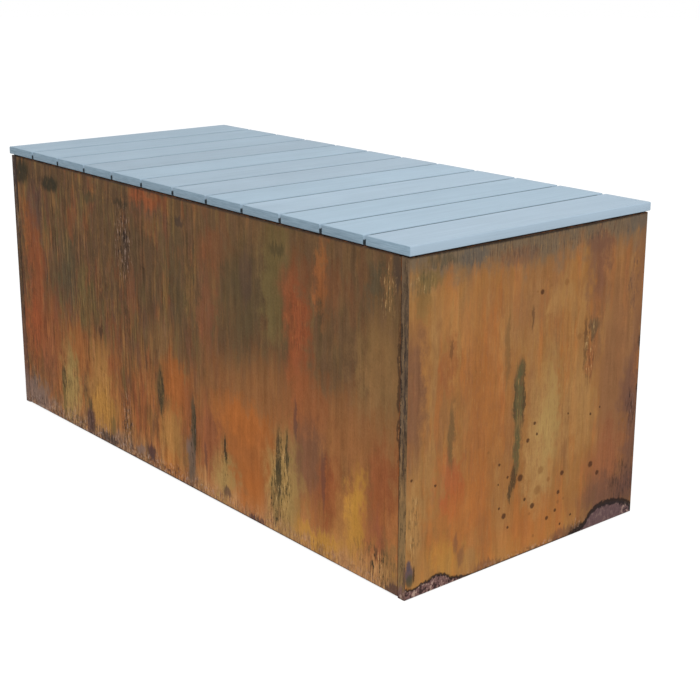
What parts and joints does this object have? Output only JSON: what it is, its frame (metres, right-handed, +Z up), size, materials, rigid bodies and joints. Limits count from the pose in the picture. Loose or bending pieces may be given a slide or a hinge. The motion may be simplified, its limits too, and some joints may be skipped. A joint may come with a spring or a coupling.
{
  "type": "slatted bench with planter trough",
  "caption": "Box bench for street or park: a rusted sheet-steel trough under a slatted seat panel that lifts off to plant or reach inside.",
  "frame": {"origin": "on the ground at the middle of the bench's footprint", "axes": "+X along the bench's length, +Z up; the long face that the picture shows is at -Y and the end face it shows is at +X"},
  "size_m": [1, 0.44, 0.45],
  "materials": {
    "rusted_steel": "matte",
    "galvanised_steel": "satin",
    "stainless_fasteners": "satin",
    "rubber": "matte",
    "batten_timber": "matte",
    "slat_boards": "matte"
  },
  "bodies": {
    "trough": {"front_panel": "rusted_steel", "back_panel": "rusted_steel", "left_end_panel": "rusted_steel", "right_end_panel": "rusted_steel", "base_tray": "galvanised_steel", "left_tray_stiffener": "galvanised_steel", "middle_tray_stiffener": "galvanised_steel", "right_tray_stiffener": "galvanised_steel", "cross_tie": "galvanised_steel", "front_rim_strip": "rubber", "rear_rim_strip": "rubber", "left_rim_strip": "rubber", "right_rim_strip": "rubber", "corner_bolts": "stainless_fasteners", "corner_nuts": "stainless_fasteners"},
    "seat": {"slat_01": "slat_boards", "slat_02": "slat_boards", "slat_03": "slat_boards", "slat_04": "slat_boards", "slat_05": "slat_boards", "slat_06": "slat_boards", "slat_07": "slat_boards", "slat_08": "slat_boards", "slat_09": "slat_boards", "slat_10": "slat_boards", "slat_11": "slat_boards", "slat_12": "slat_boards", "front_batten": "batten_timber", "middle_batten": "batten_timber", "rear_batten": "batten_timber", "slat_screws": "stainless_fasteners"}
  },
  "joints": [
    {"name": "seat_lift", "type": "slide", "parent": "trough", "child": "seat", "axis": [0, 0, 1], "range_m": [0, 0.5]}
  ]
}
